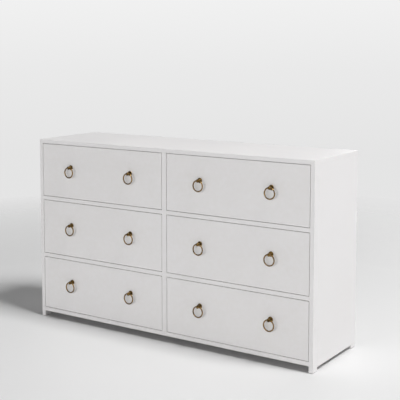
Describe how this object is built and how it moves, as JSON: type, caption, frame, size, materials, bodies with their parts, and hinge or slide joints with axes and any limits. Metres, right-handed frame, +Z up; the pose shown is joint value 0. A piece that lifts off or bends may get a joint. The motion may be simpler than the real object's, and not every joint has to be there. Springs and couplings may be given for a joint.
{
  "type": "dresser with drawers",
  "caption": "Wide low dresser with two columns of inset drawers in a slim front frame, each drawn out by hanging ring pulls.",
  "frame": {"origin": "middle of the floor rectangle that the whole dresser covers, pulls included", "axes": "+X along the width, to the right of a person who faces the drawers; -Y towards that person; +Z up"},
  "size_m": [1.524, 0.451, 0.9],
  "materials": {
    "white_lacquer": "satin white lacquer",
    "drawer_birch": "clear matt varnish",
    "aged_brass": "aged, satin",
    "zinc_steel": "zinc plated",
    "glide_nylon": "matt"
  },
  "bodies": {
    "carcass": {"top_panel": "white_lacquer", "left_side_panel": "white_lacquer", "right_side_panel": "white_lacquer", "left_front_post": "white_lacquer", "right_front_post": "white_lacquer", "top_rail": "white_lacquer", "bottom_rail": "white_lacquer", "centre_stile": "white_lacquer", "upper_left_rail": "white_lacquer", "upper_right_rail": "white_lacquer", "lower_left_rail": "white_lacquer", "lower_right_rail": "white_lacquer", "centre_partition": "white_lacquer", "bottom_panel": "white_lacquer", "back_panel": "white_lacquer", "back_feet": "white_lacquer", "foot_glides": "glide_nylon", "carcass_slides": "zinc_steel"},
    "bottom_left_drawer": {"bottom_left_drawer_front": "white_lacquer", "bottom_left_drawer_box": "drawer_birch", "bottom_left_drawer_bottom": "drawer_birch", "bottom_left_drawer_slides": "zinc_steel", "bottom_left_pull_knobs": "aged_brass"},
    "bottom_left_ring_left": {"bottom_left_ring_left": "aged_brass"},
    "bottom_left_ring_right": {"bottom_left_ring_right": "aged_brass"},
    "bottom_right_drawer": {"bottom_right_drawer_front": "white_lacquer", "bottom_right_drawer_box": "drawer_birch", "bottom_right_drawer_bottom": "drawer_birch", "bottom_right_drawer_slides": "zinc_steel", "bottom_right_pull_knobs": "aged_brass"},
    "bottom_right_ring_left": {"bottom_right_ring_left": "aged_brass"},
    "bottom_right_ring_right": {"bottom_right_ring_right": "aged_brass"},
    "middle_left_drawer": {"middle_left_drawer_front": "white_lacquer", "middle_left_drawer_box": "drawer_birch", "middle_left_drawer_bottom": "drawer_birch", "middle_left_drawer_slides": "zinc_steel", "middle_left_pull_knobs": "aged_brass"},
    "middle_left_ring_left": {"middle_left_ring_left": "aged_brass"},
    "middle_left_ring_right": {"middle_left_ring_right": "aged_brass"},
    "middle_right_drawer": {"middle_right_drawer_front": "white_lacquer", "middle_right_drawer_box": "drawer_birch", "middle_right_drawer_bottom": "drawer_birch", "middle_right_drawer_slides": "zinc_steel", "middle_right_pull_knobs": "aged_brass"},
    "middle_right_ring_left": {"middle_right_ring_left": "aged_brass"},
    "middle_right_ring_right": {"middle_right_ring_right": "aged_brass"},
    "top_left_drawer": {"top_left_drawer_front": "white_lacquer", "top_left_drawer_box": "drawer_birch", "top_left_drawer_bottom": "drawer_birch", "top_left_drawer_slides": "zinc_steel", "top_left_pull_knobs": "aged_brass"},
    "top_left_ring_left": {"top_left_ring_left": "aged_brass"},
    "top_left_ring_right": {"top_left_ring_right": "aged_brass"},
    "top_right_drawer": {"top_right_drawer_front": "white_lacquer", "top_right_drawer_box": "drawer_birch", "top_right_drawer_bottom": "drawer_birch", "top_right_drawer_slides": "zinc_steel", "top_right_pull_knobs": "aged_brass"},
    "top_right_ring_left": {"top_right_ring_left": "aged_brass"},
    "top_right_ring_right": {"top_right_ring_right": "aged_brass"}
  },
  "joints": [
    {"name": "bottom_left_drawer_slide", "type": "slide", "parent": "carcass", "child": "bottom_left_drawer", "axis": [0, -1, 0], "range_m": [0, 0.26]},
    {"name": "bottom_left_ring_left_swing", "type": "hinge", "parent": "bottom_left_drawer", "child": "bottom_left_ring_left", "pos_m": [-0.55863, -0.217, 0.20025], "axis": [-1, 0, 0], "range_deg": [-15, 100]},
    {"name": "bottom_left_ring_right_swing", "type": "hinge", "parent": "bottom_left_drawer", "child": "bottom_left_ring_right", "pos_m": [-0.19587, -0.217, 0.20025], "axis": [-1, 0, 0], "range_deg": [-15, 100]},
    {"name": "bottom_right_drawer_slide", "type": "slide", "parent": "carcass", "child": "bottom_right_drawer", "axis": [0, -1, 0], "range_m": [0, 0.26]},
    {"name": "bottom_right_ring_left_swing", "type": "hinge", "parent": "bottom_right_drawer", "child": "bottom_right_ring_left", "pos_m": [0.19587, -0.217, 0.20025], "axis": [-1, 0, 0], "range_deg": [-15, 100]},
    {"name": "bottom_right_ring_right_swing", "type": "hinge", "parent": "bottom_right_drawer", "child": "bottom_right_ring_right", "pos_m": [0.55863, -0.217, 0.20025], "axis": [-1, 0, 0], "range_deg": [-15, 100]},
    {"name": "middle_left_drawer_slide", "type": "slide", "parent": "carcass", "child": "middle_left_drawer", "axis": [0, -1, 0], "range_m": [0, 0.26]},
    {"name": "middle_left_ring_left_swing", "type": "hinge", "parent": "middle_left_drawer", "child": "middle_left_ring_left", "pos_m": [-0.55863, -0.217, 0.48425], "axis": [-1, 0, 0], "range_deg": [-15, 100]},
    {"name": "middle_left_ring_right_swing", "type": "hinge", "parent": "middle_left_drawer", "child": "middle_left_ring_right", "pos_m": [-0.19587, -0.217, 0.48425], "axis": [-1, 0, 0], "range_deg": [-15, 100]},
    {"name": "middle_right_drawer_slide", "type": "slide", "parent": "carcass", "child": "middle_right_drawer", "axis": [0, -1, 0], "range_m": [0, 0.26]},
    {"name": "middle_right_ring_left_swing", "type": "hinge", "parent": "middle_right_drawer", "child": "middle_right_ring_left", "pos_m": [0.19587, -0.217, 0.48425], "axis": [-1, 0, 0], "range_deg": [-15, 100]},
    {"name": "middle_right_ring_right_swing", "type": "hinge", "parent": "middle_right_drawer", "child": "middle_right_ring_right", "pos_m": [0.55863, -0.217, 0.48425], "axis": [-1, 0, 0], "range_deg": [-15, 100]},
    {"name": "top_left_drawer_slide", "type": "slide", "parent": "carcass", "child": "top_left_drawer", "axis": [0, -1, 0], "range_m": [0, 0.26]},
    {"name": "top_left_ring_left_swing", "type": "hinge", "parent": "top_left_drawer", "child": "top_left_ring_left", "pos_m": [-0.55863, -0.217, 0.77025], "axis": [-1, 0, 0], "range_deg": [-15, 100]},
    {"name": "top_left_ring_right_swing", "type": "hinge", "parent": "top_left_drawer", "child": "top_left_ring_right", "pos_m": [-0.19587, -0.217, 0.77025], "axis": [-1, 0, 0], "range_deg": [-15, 100]},
    {"name": "top_right_drawer_slide", "type": "slide", "parent": "carcass", "child": "top_right_drawer", "axis": [0, -1, 0], "range_m": [0, 0.26]},
    {"name": "top_right_ring_left_swing", "type": "hinge", "parent": "top_right_drawer", "child": "top_right_ring_left", "pos_m": [0.19587, -0.217, 0.77025], "axis": [-1, 0, 0], "range_deg": [-15, 100]},
    {"name": "top_right_ring_right_swing", "type": "hinge", "parent": "top_right_drawer", "child": "top_right_ring_right", "pos_m": [0.55863, -0.217, 0.77025], "axis": [-1, 0, 0], "range_deg": [-15, 100]}
  ]
}
